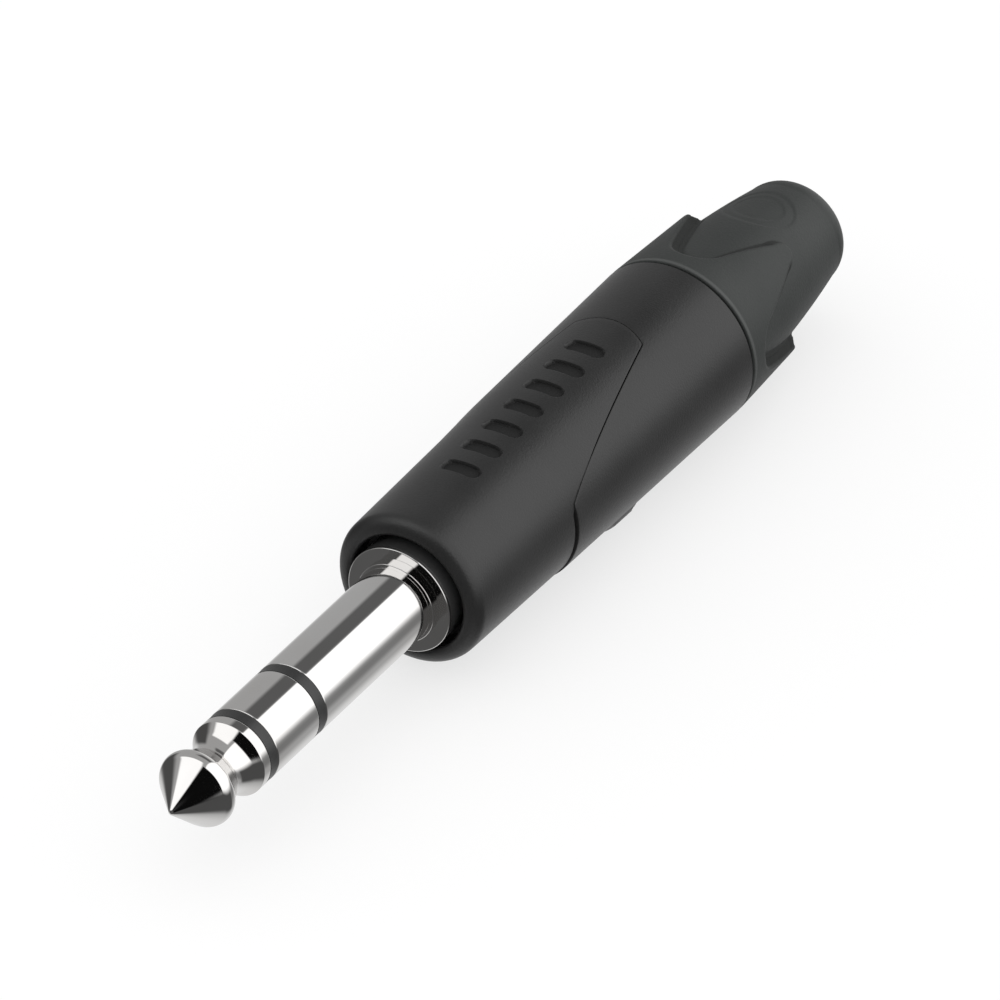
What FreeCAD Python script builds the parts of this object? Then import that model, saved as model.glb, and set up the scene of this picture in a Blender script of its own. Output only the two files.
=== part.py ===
"""Three-pole jack plug, 6.35 mm, with a snap-together housing and a rubber boot.

Frame: the plug lies along X. The tip points to -X, the cable leaves towards +X, and +Z is up.
The origin is on the axis, in the face of the shoulder collar that meets a socket's mouth.
All lengths are in millimetres. Stations called x_... are places along the axis.
"""
import FreeCAD, Part
import math
import os

Vec = FreeCAD.Vector

# Driving dimensions: the finger
finger_length = 30.4          # tip apex to the collar's face
finger_r = 3.175              # sleeve, ring and ball, a 6.35 mm finger
apex_round = 0.35             # small round at the very tip
ball_station = 3.55           # apex to the widest place of the ball
ball_round = 0.95             # radius of the ball's shoulder, in section
cone_half_angle = 43.0        # degrees, from the axis
neck_r = 2.15
neck_station = 5.87           # apex to the middle of the neck
neck_round = 0.9
neck_side_angle = 52.0        # degrees, from the ball and the flare down into the neck
flare_station = 7.58          # apex to the edge where the flare reaches full radius
tip_length = 8.6              # apex to the first insulator
ring_length = 5.55            # ring contact, between the two insulators
insulator_length = 0.97       # each of the two black rings on the finger
edge_round = 0.12             # round on the metal edges beside the insulators

# Driving dimensions: the stack of rods and tubes inside the finger
rod_r = 0.9
tube_wall = 0.5
stack_clearance = 0.05        # radial, between one tube and the next

# Driving dimensions: collar, flange and seat
collar_r = 3.36
collar_length = 0.45
collar_chamfer = 0.08
flange_r = 4.5
flange_length = 0.3
flange_chamfer = 0.08
spacer_wall = 0.75
spacer_length = 2.7
stem_r = 3.7
stem_length = 6.5
knurl_depth = 0.15
knurl_count = 24

# Driving dimensions: terminals
lug_thickness = 0.5
tag_thickness = 0.5
tip_tag_length = 8.2
ring_tag_length = 7.3
tag_to_chuck = 1.4            # from the earth tag's end to the chuck
sleeve_tag_turn = 180.0       # degrees about the axis, from +Z
ring_tag_turn = 60.0
tip_tag_turn = -60.0
tag_width = 2.4
tag_hole_r = 0.6
lug_arm_root = 0.4            # from a lug's bore to the root of its arm
tip_lug_share = 0.46          # lug radii and the earth tag's height, as shares of the room in the liner
ring_lug_share = 0.6
sleeve_tag_share = 0.8
block_length = 2.8
block_edge = 0.3
block_slot_height = 2.0       # of the slot for the earth tag
block_slot_clearance = 0.1    # below that tag
lug_washer_length = 1.0
rivet_r = 1.5
rivet_length = 0.8
rivet_washer_r = 1.9
rivet_washer_length = 0.4

# Driving dimensions: housing
body_front_r = 6.81           # outside radius of the body shell at its front edge
housing_growth = 0.4          # growth of that radius to the rear edge
split_station = 15.1          # front edge of the body shell
split_gap = 0.32              # axial gap between the two shells
split_step = 0.13             # how far the front shell sits below the body shell there
shell_slope = 0.0205          # growth of the front shell's radius per millimetre
nose_face = 1.45              # collar's face to the front of the nose lip
lip_outer_share = 0.75        # share of the lip's wall that its outer round takes
lip_inner_share = 0.25
mouth_clearance = 0.45        # radial, between the spacer ring and the mouth
body_rear = 39.95             # rear edge of the body shell
body_wall = 1.12              # at the front edge
thread_wall = 1.3             # round the thread bore, at the rear edge
spigot_wall = 0.65
spigot_length = 7.6           # from the split back into the body shell
spigot_clearance = 0.05
shell_edge_round = 0.15
seam_chamfer = 0.18

# Driving dimensions: tongue of the front shell, and the window that it fills
tongue_length = 16.69         # from the split to the middle of its rear edge
tongue_bow = 0.83             # how far that edge bows out past its corners
tongue_corner_share = 0.451   # half width at those corners, as a share of the body's radius
tongue_side_slope = 0.22      # widening of each side per millimetre, towards the nose
tongue_thickness = 1.15
tongue_gap = 0.07             # hairline gap all round the tongue
tongue_rise = 5.6             # length over which the tongue rises flush with the body
tongue_root = 1.0             # overlap of the tongue's root with the nose
window_wall = 0.55            # what is left of the body shell below the tongue

# Driving dimensions: plain grip bars pressed into the tongue
bar_count = 7
bar_pitch = 2.943
bar_first = 9.64
bar_width = 3.3
bar_length = 1.38
bar_depth = 0.28

# Driving dimensions: rest pad under the body shell
pad_behind_split = 6.73
pad_length = 3.5
pad_height = 0.23
pad_half_angle = 53.0
pad_root = 0.5                # how deep the pad and its foot reach into the shell
foot_width = 4.3              # flat foot in the middle of the pad, for the plug to lie on
foot_proud = 0.13

# Driving dimensions: gland, chuck and boot
thread_pitch = 1.0
thread_turns = 5              # turns that the boot can be slackened
thread_length = 7.9
thread_clearance = 0.08
thread_relief = 0.3           # axial, between the thread's end and the end of its bore
thread_lead_in = 0.4          # chamfer on the thread's front edge
gland_wall = 0.95
gland_rim = 0.75              # rubber round the gland's flange
gland_flange_length = 1.45
gland_barrel_wall = 1.2
gland_barrel_length = 6.1
gland_lead_in = 1.1           # length of the slope from the gland's bore to its cone
gland_relief = 0.3
seam_gap = 0.15               # axial gap between the body shell and the boot
cable_clearance = 0.25        # radial, between the chuck's bore and the gland's barrel
jaw_room = 0.48               # radial room round the jaws, inside the thread
jaw_wall = 0.9
chuck_behind_spigot = 1.1
chuck_head_length = 2.8
chuck_head_clearance = 0.12
chuck_jaw_length = 10.2
chuck_slots = 4
chuck_slot_width = 0.8
chuck_slot_start = 0.8        # from the chuck's head to the slots
chuck_rib_width = 1.4
chuck_rib_height = 0.35
chuck_rib_clearance = 0.1
chuck_rib_inset = 0.3         # from each end of the chuck's head
chuck_edge = 0.3              # chamfer on the head
chuck_bite = 0.25             # depth of the grooves in the jaws
chuck_bite_pitch = 1.2
chuck_bite_share = 0.9        # share of that pitch that each groove takes
chuck_cone_length = 3.0
chuck_cone_drop = 0.45        # how much the jaws' outside narrows over their cone
cone_clearance = 0.06         # radial, between the jaws' cone and the gland's
boot_clearance = 0.05
boot_length = 19.37           # from the seam to where the end round would meet the axis line
petal_length = 9.1            # from the seam to the petals' points
petal_drop = 0.48             # fall of the petals' outside over that length
petal_height = 1.0            # step from the boot's ring down to its core, at the front
core_fall = 1.58              # fall of the core's outside from there to its rear end
core_bulge = 0.37             # how far the core's outline bows out between its ends
boot_end_share = 0.5          # end round, as a share of the core's rear radius
scallop_count = 4
scallop_inset = 1.9           # from the seam to the bottom of each U-shaped scallop
scallop_bottom_r = 2.3
scallop_side_slope = 0.28
petal_edge_round = 0.25
dish_behind_seam = 12.67      # middle of the shallow oval dish on top of the boot
dish_half_length = 2.85
dish_half_width = 3.0
dish_depth = 0.1

# Driving dimensions: insulating tube round the terminals
liner_wall = 0.4
liner_gap = 0.2               # axial, between the tube and the chuck

# Stations and radii worked out from the driving dimensions: finger and terminals
x_apex = -finger_length
x_tip_end = x_apex + tip_length
x_ring_front = x_tip_end + insulator_length
x_ring_rear = x_ring_front + ring_length
x_sleeve_front = x_ring_rear + insulator_length
x_flange_front = collar_length
x_flange_rear = x_flange_front + flange_length
x_seat = x_flange_rear + spacer_length
x_stem_rear = x_flange_rear + stem_length
x_block_front = x_stem_rear + lug_thickness
x_block_rear = x_block_front + block_length
x_ring_lug_rear = x_block_rear + lug_thickness
x_lug_washer_rear = x_ring_lug_rear + lug_washer_length
x_tip_lug_rear = x_lug_washer_rear + lug_thickness
x_rivet_front = x_tip_lug_rear + rivet_washer_length
x_rod_end = x_rivet_front + rivet_length
tip_tube_in = rod_r + stack_clearance
tip_tube_out = tip_tube_in + tube_wall
ring_in = tip_tube_out + stack_clearance
ring_out = ring_in + tube_wall
ring_tube_in = ring_out + stack_clearance
ring_tube_out = ring_tube_in + tube_wall
sleeve_in = ring_tube_out + stack_clearance
spacer_r = flange_r - stack_clearance
mouth_r = spacer_r + mouth_clearance

# Stations and radii worked out from the driving dimensions: housing, chuck, gland and boot
body_rear_r = body_front_r + housing_growth
body_in = body_front_r - body_wall
spigot_out = body_in - spigot_clearance
spigot_in = spigot_out - spigot_wall
liner_r = spigot_in - stack_clearance
window_floor = (body_front_r + body_rear_r) / 2.0 - tongue_thickness
chuck_bore = window_floor - window_wall
chuck_head_r = chuck_bore - chuck_head_clearance
thread_bore = body_rear_r - thread_wall
thread_r = thread_bore - thread_clearance
gland_in = thread_r - gland_wall
jaw_r = gland_in - jaw_room
cable_r = jaw_r - jaw_wall
gland_barrel_in = cable_r + cable_clearance
gland_barrel_r = gland_barrel_in + gland_barrel_wall
boot_skirt_r = body_rear_r
gland_flange_r = boot_skirt_r - gland_rim
core_front_r = boot_skirt_r - petal_height
core_rear_r = core_front_r - core_fall
boot_end_round = core_rear_r * boot_end_share
x_split = split_station - split_gap
x_spigot_rear = x_split + spigot_length
x_tongue_rear = x_split + tongue_length
x_tongue_flush = x_split + tongue_rise
x_chuck_bore_front = x_spigot_rear + split_gap
x_chuck_front = x_spigot_rear + chuck_behind_spigot
x_jaw_front = x_chuck_front + chuck_head_length
x_jaw_rear = x_jaw_front + chuck_jaw_length
x_boot_front = body_rear + seam_gap
x_thread_front = x_boot_front - thread_length
x_thread_bore_front = x_thread_front - thread_relief
x_flange_end = x_boot_front + gland_flange_length
x_barrel_end = x_flange_end + gland_barrel_length
x_petal_end = x_boot_front + petal_length
x_core_end = x_boot_front + boot_length - boot_end_round
x_scallop = x_boot_front + scallop_inset
x_dish = x_boot_front + dish_behind_seam
x_pad_front = split_station + pad_behind_split
x_pad_rear = x_pad_front + pad_length
tongue_corner_y = tongue_corner_share * body_front_r
liner_in = liner_r - liner_wall
tip_lug_r = liner_in * tip_lug_share
ring_lug_r = liner_in * ring_lug_share
sleeve_tag_height = liner_in * sleeve_tag_share
sleeve_tag_length = x_chuck_front - tag_to_chuck - tag_width / 2.0 - x_stem_rear


def taper(x, x0, r0, x1, r1):
    """Radius at station x on the straight taper from (x0, r0) to (x1, r1)."""
    return r0 + (r1 - r0) * (x - x0) / (x1 - x0)


def body_radius(x):
    """Outside radius of the body shell at station x."""
    return taper(x, split_station, body_front_r, body_rear, body_rear_r)


def nose_radius(x):
    """Outside radius of the front shell's nose at station x."""
    return body_front_r - split_step - shell_slope * (x_split - x)


def point(x, r):
    """A point of a section, drawn in the XZ plane."""
    return Vec(x, 0.0, r)


def spin(edges):
    """Turn a closed section round the X axis into a solid."""
    wire = Part.Wire(Part.__sortEdges__(edges))
    solid = Part.Face(wire).revolve(Vec(0, 0, 0), Vec(1, 0, 0), 360.0)
    return solid if solid.Volume > 0 else solid.reversed()


def lines(*corners):
    """Straight edges from each (x, r) corner to the next."""
    return [Part.makeLine(point(*a), point(*b)) for a, b in zip(corners, corners[1:])]


def arc(a, b, c):
    """An arc through three (x, r) places."""
    return Part.Arc(point(*a), point(*b), point(*c)).toShape()


def turned(*corners):
    """A solid of revolution from the (x, r) corners of a closed section."""
    return spin(lines(*corners, corners[0]))


def tube(x0, x1, r_in, r_out):
    """A plain tube, or a rod where r_in is zero."""
    return turned((x0, r_in), (x1, r_in), (x1, r_out), (x0, r_out))


def rims(solid, x, r):
    """The circular edges of a solid at station x with radius r."""
    found = []
    for edge in solid.Edges:
        if not edge.Degenerated and isinstance(edge.Curve, Part.Circle):
            centre = edge.Curve.Center
            if abs(centre.x - x) < 0.005 and abs(edge.Curve.Radius - r) < 0.005:
                found.append(edge)
    return found


def rounded(solid, size, *places):
    """Round the rims at the given (x, r) places."""
    edges = [edge for place in places for edge in rims(solid, *place)]
    return solid.makeFillet(size, edges)


def chamfered(solid, size, *places):
    """Chamfer the rims at the given (x, r) places."""
    edges = [edge for place in places for edge in rims(solid, *place)]
    return solid.makeChamfer(size, edges)


def turn_about_axis(solid, degrees):
    """A copy of the solid, turned about the plug's axis."""
    copy = solid.copy()
    copy.rotate(Vec(0, 0, 0), Vec(1, 0, 0), degrees)
    return copy


def prism_up(outline, z0, z1):
    """A vertical prism from z0 to z1 on a closed outline of edges drawn at z = 0."""
    wire = Part.Wire(Part.__sortEdges__(outline))
    base = Part.Face(wire)
    base.translate(Vec(0, 0, z0))
    return base.extrude(Vec(0, 0, z1 - z0))


def plan_line(a, b):
    """A straight edge between two (x, y) places at z = 0."""
    return Part.makeLine(Vec(a[0], a[1], 0), Vec(b[0], b[1], 0))


def plan_arc(a, b, c):
    """An arc through three (x, y) places at z = 0."""
    return Part.Arc(Vec(a[0], a[1], 0), Vec(b[0], b[1], 0), Vec(c[0], c[1], 0)).toShape()


def make_tip_contact():
    """Pointed tip with its ball, neck and flare, and the long rod that carries its lug."""
    slope = math.radians(cone_half_angle)
    normal_x = -math.sin(slope)
    normal_r = math.cos(slope)
    apex_x = x_apex + apex_round
    cone_start = (apex_x + apex_round * normal_x, apex_round * normal_r)
    ball_x = x_apex + ball_station
    ball_r = finger_r - ball_round
    cone_end = (ball_x + ball_round * normal_x, ball_r + ball_round * normal_r)
    back = math.radians(neck_side_angle)
    ball_top = (ball_x, finger_r)
    ball_back = (ball_x + ball_round * math.sin(back), ball_r + ball_round * math.cos(back))
    neck_x = x_apex + neck_station
    neck_centre = neck_r + neck_round
    neck_front = (neck_x - neck_round * math.sin(back), neck_centre - neck_round * math.cos(back))
    neck_back = (neck_x + neck_round * math.sin(back), neck_centre - neck_round * math.cos(back))
    flare = (x_apex + flare_station, finger_r)
    apex = (x_apex, 0.0)
    middle = (math.pi / 2.0 - slope) / 2.0
    apex_mid = (apex_x - apex_round * math.cos(middle), apex_round * math.sin(middle))
    edges = [arc(apex, apex_mid, cone_start)]
    edges += lines(cone_start, cone_end)
    edges += [arc(cone_end, ball_top, ball_back)]
    edges += lines(ball_back, neck_front)
    edges += [arc(neck_front, (neck_x, neck_r), neck_back)]
    edges += lines(neck_back, flare, (x_tip_end, finger_r), (x_tip_end, rod_r), (x_rivet_front, rod_r),
                   (x_rivet_front, rivet_r), (x_rod_end, rivet_r), (x_rod_end, 0.0), apex)
    contact = spin(edges)
    contact = rounded(contact, edge_round, (x_tip_end, finger_r), flare)
    return rounded(contact, rivet_length / 2.0, (x_rod_end, rivet_r))


def make_insulator(x_front, r_in):
    """One of the two black rings on the finger."""
    return tube(x_front, x_front + insulator_length, r_in, finger_r)


def make_ring_contact():
    """Ring of the finger, with the tube that carries it back to its lug."""
    contact = turned((x_ring_front, ring_in), (x_ring_lug_rear, ring_in), (x_ring_lug_rear, ring_out),
                     (x_ring_rear, ring_out), (x_ring_rear, finger_r), (x_ring_front, finger_r))
    return rounded(contact, edge_round, (x_ring_front, finger_r), (x_ring_rear, finger_r))


def make_sleeve_contact():
    """Sleeve of the finger with its collar, its flange and a knurled stem."""
    stem = stem_r - knurl_depth
    sleeve = turned((x_sleeve_front, sleeve_in), (x_stem_rear, sleeve_in), (x_stem_rear, stem),
                    (x_flange_rear, stem), (x_flange_rear, flange_r), (x_flange_front, flange_r),
                    (x_flange_front, collar_r), (0.0, collar_r), (0.0, finger_r),
                    (x_sleeve_front, finger_r))
    sleeve = rounded(sleeve, edge_round, (x_sleeve_front, finger_r))
    sleeve = chamfered(sleeve, collar_chamfer, (0.0, collar_r))
    sleeve = chamfered(sleeve, flange_chamfer, (x_flange_front, flange_r))
    ridges = []
    ridge_half = math.radians(360.0 / knurl_count / 4.0)
    length = x_stem_rear - x_seat
    for i in range(knurl_count):
        ridge = Part.makeBox(length, 2 * stem * math.sin(ridge_half), 2 * knurl_depth,
                             Vec(x_seat, -stem * math.sin(ridge_half), stem_r - 2 * knurl_depth))
        ridges.append(turn_about_axis(ridge, i * 360.0 / knurl_count))
    return sleeve.fuse(ridges)


def make_spacer_ring():
    """Black ring between the flange and its seat in the nose."""
    return tube(x_flange_rear, x_seat, spacer_r - spacer_wall, spacer_r)


def make_tag(x_front, length, height, wide):
    """A solder tag: a flat strip that runs back, with a hole near its round end."""
    strip = Part.makeBox(length, wide, tag_thickness, Vec(x_front, -wide / 2.0, height))
    end = Part.makeCylinder(wide / 2.0, tag_thickness, Vec(x_front + length, 0, height))
    hole = Part.makeCylinder(tag_hole_r, 3 * tag_thickness,
                             Vec(x_front + length, 0, height - tag_thickness))
    return strip.fuse(end).cut(hole)


def make_lug(x_front, r_in, r_out, tag_height, tag_length, turn):
    """A round lug with its solder tag bent back from the rim."""
    plate = tube(x_front, x_front + lug_thickness, r_in, r_out)
    arm_r = r_in + lug_arm_root
    arm = Part.makeBox(lug_thickness, tag_width, tag_height + tag_thickness - arm_r,
                       Vec(x_front, -tag_width / 2.0, arm_r))
    tag = make_tag(x_front, tag_length, tag_height, tag_width)
    return turn_about_axis(plate.fuse([arm, tag]).removeSplitter(), turn)


def make_terminal_block():
    """Moulded disc that carries the lugs, with a slot for the earth tag."""
    block = tube(x_block_front, x_block_rear, ring_tube_out + stack_clearance, liner_r)
    slot_width = tag_width + 2 * stack_clearance
    slot = Part.makeBox(block_length, slot_width, block_slot_height,
                        Vec(x_block_front, -slot_width / 2.0, sleeve_tag_height - block_slot_clearance))
    block = block.cut(turn_about_axis(slot, sleeve_tag_turn))
    return chamfered(block, block_edge, (x_block_rear, liner_r))


def tongue_half_width(x):
    """Half the width of the tongue at station x, in plan."""
    return tongue_corner_y + tongue_side_slope * (x_tongue_rear - tongue_bow - x)


def tongue_outline(x_front, grow):
    """Plan of the tongue, from x_front back to its bowed rear edge, grown on every side."""
    corner = x_tongue_rear - tongue_bow
    side = grow * math.hypot(1.0, tongue_side_slope)
    front_y = tongue_half_width(x_front) + side
    rear_y = tongue_corner_y + side
    return [plan_line((x_front, -front_y), (x_front, front_y)),
            plan_line((x_front, front_y), (corner, rear_y)),
            plan_arc((corner, rear_y), (x_tongue_rear + grow, 0.0), (corner, -rear_y)),
            plan_line((corner, -rear_y), (x_front, -front_y))]


def make_nose():
    """Nose of the front shell with its lip, its seat for the stem and the spigot behind it."""
    lip_r = nose_radius(nose_face)
    lip_wall = lip_r - mouth_r
    nose = turned((x_seat, stem_r), (x_seat, mouth_r), (nose_face, mouth_r), (nose_face, lip_r),
                  (x_split, nose_radius(x_split)), (x_split, spigot_out), (x_spigot_rear, spigot_out),
                  (x_spigot_rear, spigot_in), (x_stem_rear, spigot_in), (x_stem_rear, stem_r))
    nose = rounded(nose, lip_wall * lip_outer_share, (nose_face, lip_r))
    nose = rounded(nose, lip_wall * lip_inner_share, (nose_face, mouth_r))
    return rounded(nose, shell_edge_round, (x_split, nose_radius(x_split)))


def make_front_shell():
    """Nose, spigot and the long tongue that closes the window of the body shell."""
    skin_in = window_floor + spigot_clearance
    x_root = x_split - tongue_root
    x_past = x_tongue_rear + tongue_root
    skin = turned((x_root, skin_in), (x_past, skin_in), (x_past, body_radius(x_past)),
                  (x_tongue_flush, body_radius(x_tongue_flush)), (x_split, nose_radius(x_split)),
                  (x_root, nose_radius(x_root)))
    root = tube(x_root, x_spigot_rear, spigot_in, skin_in + pad_root)
    plan = prism_up(tongue_outline(x_root, 0.0), 0.0, 2 * body_rear_r)
    shell = make_nose().fuse([skin.common(plan), root.common(plan)]).removeSplitter()
    return shell.cut(grip_bars())


def grip_bars():
    """Plain round-ended bars across the tongue, cut to an even depth below its surface."""
    bars = []
    for i in range(bar_count):
        x = bar_first + i * bar_pitch
        half = bar_width / 2.0
        end = bar_length / 2.0
        outline = [plan_line((x - end, -half + end), (x - end, half - end)),
                   plan_arc((x - end, half - end), (x, half), (x + end, half - end)),
                   plan_line((x + end, half - end), (x + end, -half + end)),
                   plan_arc((x + end, -half + end), (x, -half), (x - end, -half + end))]
        bars.append(prism_up(outline, 0.0, 2 * body_rear_r))
    stations = (bar_first - bar_length, x_split, x_tongue_flush, x_tongue_rear)
    surface = [(x, top_radius(x) - bar_depth) for x in stations]
    floor = turned((surface[0][0], 0.0), *surface, (surface[-1][0], 0.0))
    return [bar.cut(floor) for bar in bars]


def top_radius(x):
    """Outside radius of the front shell and its tongue, along the top."""
    if x <= x_split:
        return nose_radius(x)
    if x >= x_tongue_flush:
        return body_radius(x)
    return taper(x, x_split, nose_radius(x_split), x_tongue_flush, body_radius(x_tongue_flush))


def make_body_shell():
    """Rear half of the housing: window for the tongue, chuck bore, thread bore and rest pad."""
    shell = turned((split_station, body_in), (x_chuck_bore_front, body_in),
                   (x_chuck_bore_front, chuck_bore), (x_thread_bore_front, chuck_bore),
                   (x_thread_bore_front, thread_bore), (body_rear, thread_bore),
                   (body_rear, body_rear_r), (split_station, body_front_r))
    shell = chamfered(shell, seam_chamfer, (body_rear, body_rear_r))
    shell = shell.fuse([make_pad(), make_foot()])
    window = prism_up(tongue_outline(split_station - tongue_root, tongue_gap), -tongue_gap,
                      2 * body_rear_r)
    floor = tube(x_chuck_bore_front, x_tongue_rear + tongue_root, 0.0, window_floor)
    shell = shell.cut(window.cut(floor))
    groove_width = chuck_rib_width + 2 * chuck_rib_clearance
    groove_depth = chuck_rib_height + chuck_rib_clearance
    groove = Part.makeBox(x_thread_bore_front - x_chuck_bore_front, groove_width, groove_depth + pad_root,
                          Vec(x_chuck_bore_front, -groove_width / 2.0, -chuck_head_r - groove_depth))
    return shell.cut(groove)


def make_pad():
    """Raised band round the lower half of the body shell, between two planes through the axis."""
    front_r = body_radius(x_pad_front)
    rear_r = body_radius(x_pad_rear)
    pad = turned((x_pad_front, front_r - pad_root), (x_pad_rear, rear_r - pad_root),
                 (x_pad_rear, rear_r + pad_height), (x_pad_rear - pad_height, rear_r + pad_height),
                 (x_pad_front + pad_height, front_r + pad_height), (x_pad_front, front_r))
    reach = 2 * body_rear_r
    side = math.radians(pad_half_angle)
    corners = [Vec(0, 0, 0), Vec(0, reach * math.sin(side), -reach * math.cos(side)),
               Vec(0, 0, -2 * reach), Vec(0, -reach * math.sin(side), -reach * math.cos(side)),
               Vec(0, 0, 0)]
    sector = Part.Face(Part.makePolygon(corners)).extrude(Vec(body_rear, 0, 0))
    return pad.common(sector)


def make_foot():
    """Flat foot in the middle of the pad."""
    depth = body_radius(x_pad_rear) + foot_proud
    foot = Part.makeBox(pad_length - 4 * pad_height, foot_width, foot_proud + 2 * pad_root,
                        Vec(x_pad_front + 2 * pad_height, -foot_width / 2.0, -depth))
    return foot.makeChamfer(pad_height, bottom_edges(foot))


def bottom_edges(box):
    """The four edges round the underside of an upright box."""
    return [edge for edge in box.Edges if abs(edge.CenterOfMass.z - box.BoundBox.ZMin) < 0.001]


def make_liner():
    """Insulating tube round the terminals, from the block to the chuck."""
    return tube(x_block_rear, x_chuck_front - liner_gap, liner_in, liner_r)


def bite_groove(x):
    """One sharp groove inside the jaws, which lets them grip the cable."""
    length = chuck_bite_pitch * chuck_bite_share
    below = cable_r - chuck_bite
    return turned((x, below), (x, cable_r), (x - length / 2.0, cable_r + chuck_bite),
                  (x - length, cable_r), (x - length, below))


def make_chuck():
    """Slotted collet that grips the cable: a keyed head and four springy jaws."""
    chuck = turned((x_chuck_front, cable_r), (x_jaw_rear, cable_r), (x_jaw_rear, jaw_r - chuck_cone_drop),
                   (x_jaw_rear - chuck_cone_length, jaw_r), (x_jaw_front, jaw_r),
                   (x_jaw_front, chuck_head_r), (x_chuck_front, chuck_head_r))
    chuck = chamfered(chuck, chuck_edge, (x_chuck_front, chuck_head_r), (x_jaw_front, chuck_head_r))
    count = int((chuck_jaw_length - chuck_cone_length) / chuck_bite_pitch)
    cuts = [bite_groove(x_jaw_rear - (i + 0.5) * chuck_bite_pitch) for i in range(count)]
    for i in range(chuck_slots):
        slot = Part.makeBox(chuck_jaw_length, chuck_slot_width, chuck_head_r,
                            Vec(x_jaw_front + chuck_slot_start, -chuck_slot_width / 2.0, 0))
        cuts.append(turn_about_axis(slot, (i + 0.5) * 360.0 / chuck_slots))
    chuck = chuck.cut(cuts)
    rib = Part.makeBox(chuck_head_length - 2 * chuck_rib_inset, chuck_rib_width,
                       chuck_rib_height + (chuck_head_r - cable_r) / 2.0,
                       Vec(x_chuck_front + chuck_rib_inset, -chuck_rib_width / 2.0,
                           -chuck_head_r - chuck_rib_height))
    return chuck.fuse(rib)


def make_gland_nut():
    """Threaded nut that closes the chuck: thread, flange and the barrel that holds the boot."""
    x_cone_front = x_jaw_rear - chuck_cone_length
    x_cone_rear = x_jaw_rear + gland_relief
    nut = turned((x_thread_front, gland_in), (x_cone_front - gland_lead_in, gland_in),
                 (x_cone_front, jaw_r + cone_clearance),
                 (x_cone_rear, jaw_r - chuck_cone_drop + cone_clearance),
                 (x_cone_rear, gland_barrel_in), (x_barrel_end, gland_barrel_in),
                 (x_barrel_end, gland_barrel_r), (x_flange_end, gland_barrel_r),
                 (x_flange_end, gland_flange_r), (x_boot_front, gland_flange_r),
                 (x_boot_front, thread_r), (x_thread_front, thread_r))
    return chamfered(nut, thread_lead_in, (x_thread_front, thread_r))


def core_radius(x):
    """Outside radius of the boot's core at station x: a straight fall with a slight bulge."""
    share = (x - x_boot_front) / (x_core_end - x_boot_front)
    return core_front_r - core_fall * share + 4.0 * core_bulge * share * (1.0 - share)


def core_edge(x0, x1, depth):
    """The core's outline between two stations, as an arc that lies the given depth below it."""
    return [(x, core_radius(x) - depth) for x in (x0, (x0 + x1) / 2.0, x1)]


def make_boot_core():
    """Smooth conical core of the boot, with its hollow for the gland and its cable bore."""
    start, middle, end = core_edge(x_boot_front + seam_gap, x_core_end, 0.0)
    hub = core_rear_r - boot_end_round
    turn = math.acos((cable_r - hub) / boot_end_round)
    lip = (x_core_end + boot_end_round * math.sin(turn), cable_r)
    bend = (x_core_end + boot_end_round * math.sin(turn / 2.0),
            hub + boot_end_round * math.cos(turn / 2.0))
    barrel = gland_barrel_r + boot_clearance
    x_hollow = x_barrel_end + boot_clearance
    edges = [arc(start, middle, end), arc(end, bend, lip)]
    edges += lines(lip, (x_hollow, cable_r), (x_hollow, barrel), (start[0], barrel), start)
    return spin(edges)


def scallop_outline():
    """Plan of one U-shaped scallop that opens towards the cable end."""
    lean = math.atan(scallop_side_slope)
    side_x = x_scallop + scallop_bottom_r * (1.0 - math.sin(lean))
    side_y = scallop_bottom_r * math.cos(lean)
    far = x_petal_end + scallop_bottom_r
    far_y = side_y + scallop_side_slope * (far - side_x)
    return [plan_arc((side_x, side_y), (x_scallop, 0.0), (side_x, -side_y)),
            plan_line((side_x, -side_y), (far, -far_y)),
            plan_line((far, -far_y), (far, far_y)),
            plan_line((far, far_y), (side_x, side_y))]


def make_boot():
    """Rubber boot: a ring and four pointed petals that stand on a smooth core."""
    flange_in = gland_flange_r + boot_clearance
    barrel_in = gland_barrel_r + boot_clearance
    x_step = x_flange_end + boot_clearance
    petal_r = boot_skirt_r - petal_drop
    skirt = turned((x_boot_front, flange_in), (x_step, flange_in), (x_step, barrel_in),
                   (x_petal_end, barrel_in), (x_petal_end, petal_r), (x_boot_front, boot_skirt_r))
    skirt = chamfered(skirt, seam_chamfer, (x_boot_front, boot_skirt_r))
    skirt = rounded(skirt, petal_edge_round, (x_petal_end, petal_r))
    scallop = prism_up(scallop_outline(), 0.0, 2 * boot_skirt_r)
    turns = [i * 360.0 / scallop_count for i in range(scallop_count)]
    skirt = skirt.cut([turn_about_axis(scallop, turn) for turn in turns])
    hollow = tube(x_boot_front - seam_gap, x_step, 0.0, flange_in)
    boot = skirt.fuse(make_boot_core().cut(hollow)).removeSplitter()
    return boot.cut(make_dish())


def make_dish():
    """Shallow oval dish on top of the boot's core."""
    start, middle, end = core_edge(x_dish - dish_half_length, x_dish + dish_half_length, dish_depth)
    floor = spin([arc(start, middle, end)] + lines(end, (end[0], 0.0), (start[0], 0.0), start))
    oval = Part.Ellipse(Vec(x_dish, 0, 0), dish_half_width, dish_half_length).toShape()
    oval.rotate(Vec(x_dish, 0, 0), Vec(0, 0, 1), 90.0)
    return prism_up([oval], 0.0, 2 * boot_skirt_r).cut(floor)


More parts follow.
